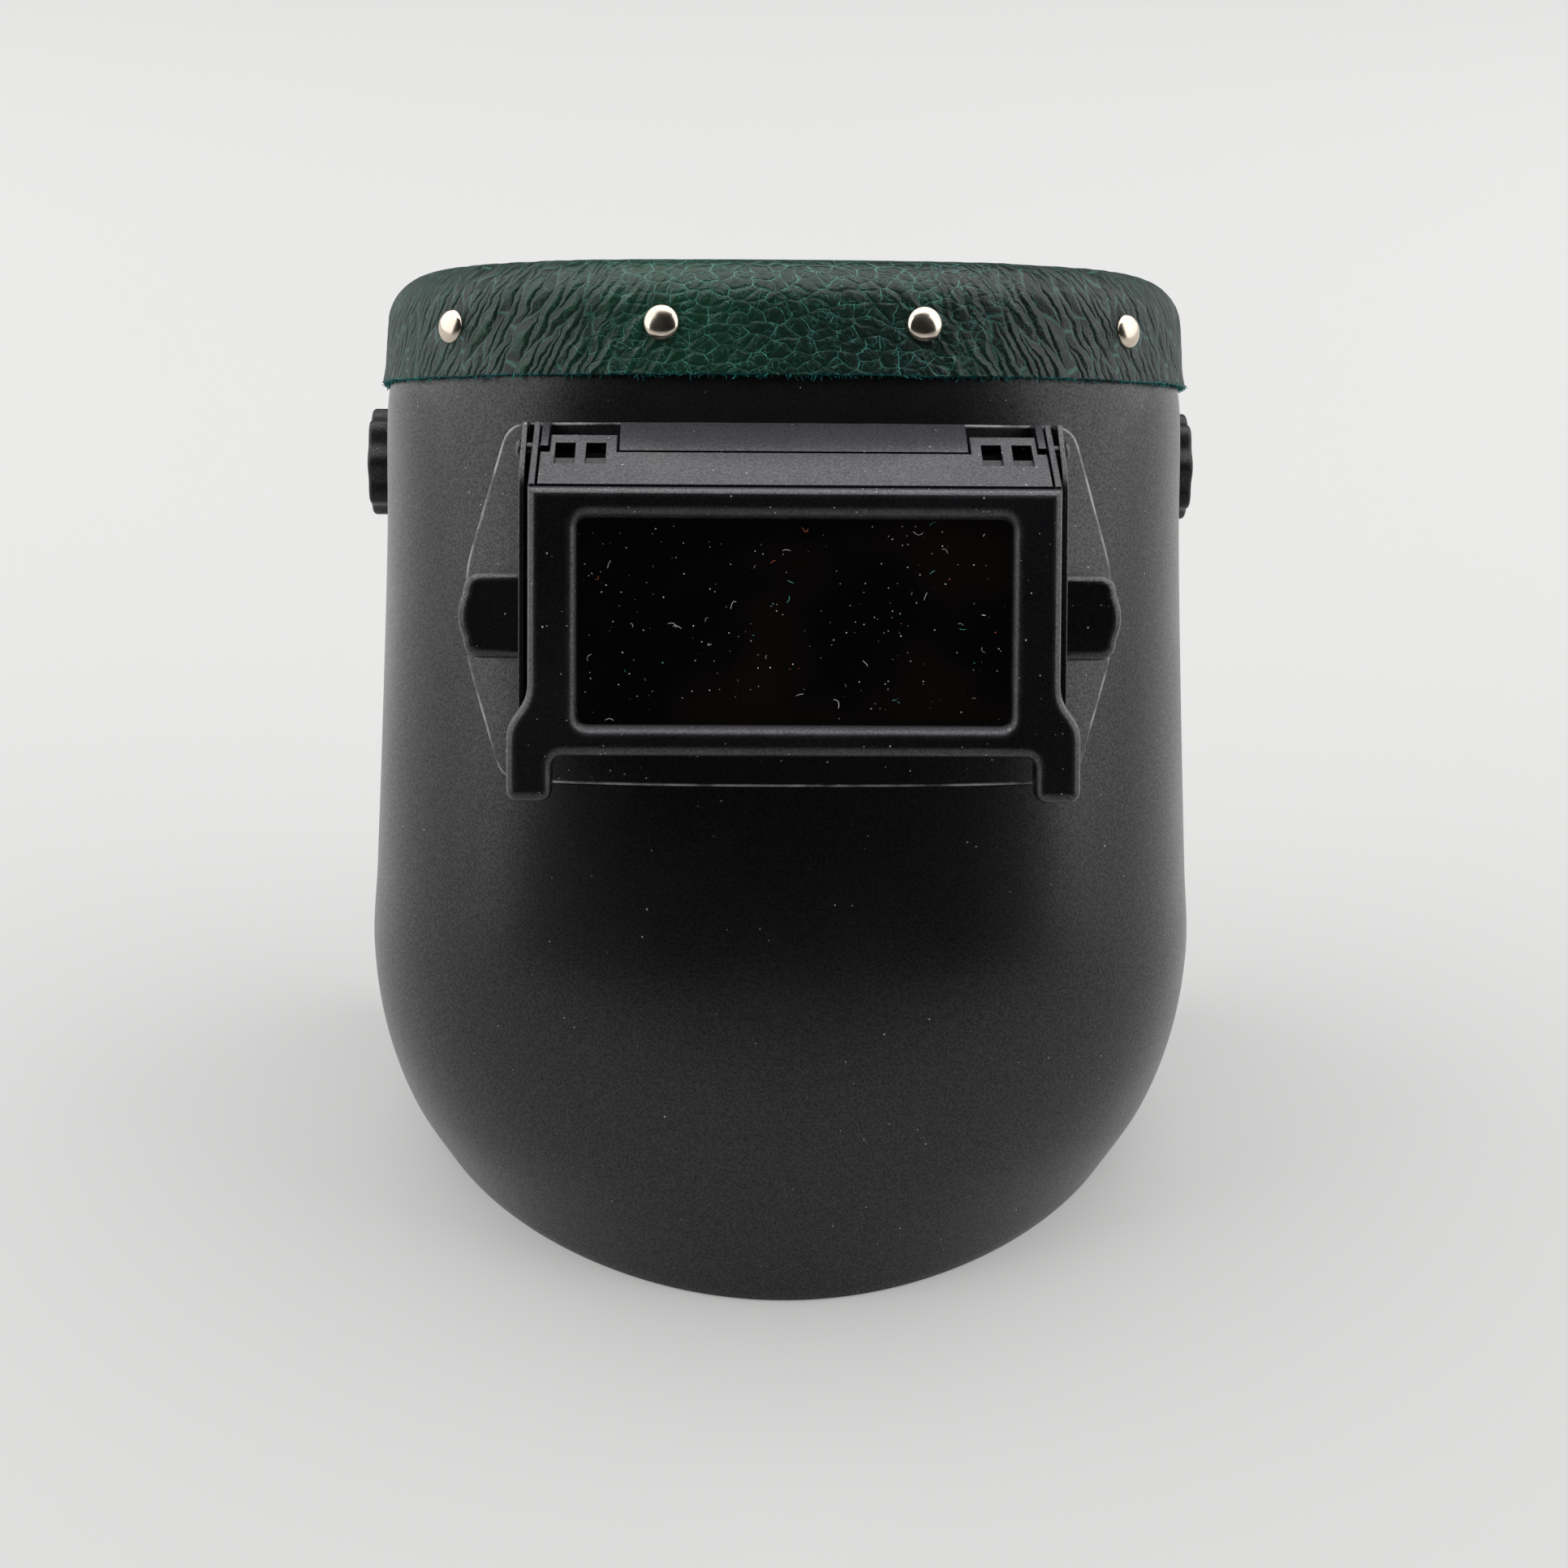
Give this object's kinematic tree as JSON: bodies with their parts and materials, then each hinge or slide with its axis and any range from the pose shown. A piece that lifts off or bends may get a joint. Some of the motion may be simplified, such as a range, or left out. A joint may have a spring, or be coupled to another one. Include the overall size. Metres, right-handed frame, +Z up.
{
  "type": "welding hood",
  "caption": "Black moulded welding hood with a leather-covered riveted brow, a lift-front lens holder that hinges up over a cover plate, and fluted side knobs.",
  "frame": {"origin": "on the surface that the hood rests on, below the middle of its overall box", "axes": "+X to the right seen from the front, +Y from the window towards the open back, +Z up, with the hood leaning back on its level lower rim"},
  "size_m": [0.2286, 0.194, 0.2455],
  "materials": {
    "shell_plastic": "fine matte grain, black",
    "cover_leather": "cracked dark green grain with a raw edge",
    "rivet_nickel": "polished nickel",
    "holder_plastic": "satin, black",
    "dark_glass": "polished, nearly black",
    "clear_plate": "clear and polished",
    "knob_plastic": "matte, black",
    "stud_steel": "plain turned"
  },
  "bodies": {
    "hood": {"shell": "shell_plastic", "leather_cover": "cover_leather", "rivet_1": "rivet_nickel", "rivet_2": "rivet_nickel", "rivet_3": "rivet_nickel", "rivet_4": "rivet_nickel", "holder_base": "holder_plastic", "clear_lens": "clear_plate", "stud_left": "stud_steel", "stud_right": "stud_steel"},
    "lift_front": {"lift_frame": "holder_plastic", "lift_tray": "holder_plastic", "dark_lens": "dark_glass", "hinge_pin_left": "holder_plastic", "hinge_pin_right": "holder_plastic"},
    "left_knob": {"knob_left": "knob_plastic"},
    "right_knob": {"knob_right": "knob_plastic"}
  },
  "joints": [
    {"name": "lift_hinge", "type": "hinge", "parent": "hood", "child": "lift_front", "pos_m": [0, -0.04035, 0.20987], "axis": [-1, 0, 0], "range_deg": [0, 100]},
    {"name": "left_knob_turn", "type": "hinge", "parent": "hood", "child": "left_knob", "pos_m": [-0.111, 0.0739, 0.1567], "axis": [-1, 0, 0], "continuous": true},
    {"name": "right_knob_turn", "type": "hinge", "parent": "hood", "child": "right_knob", "pos_m": [0.111, 0.0739, 0.1567], "axis": [1, 0, 0], "continuous": true}
  ]
}
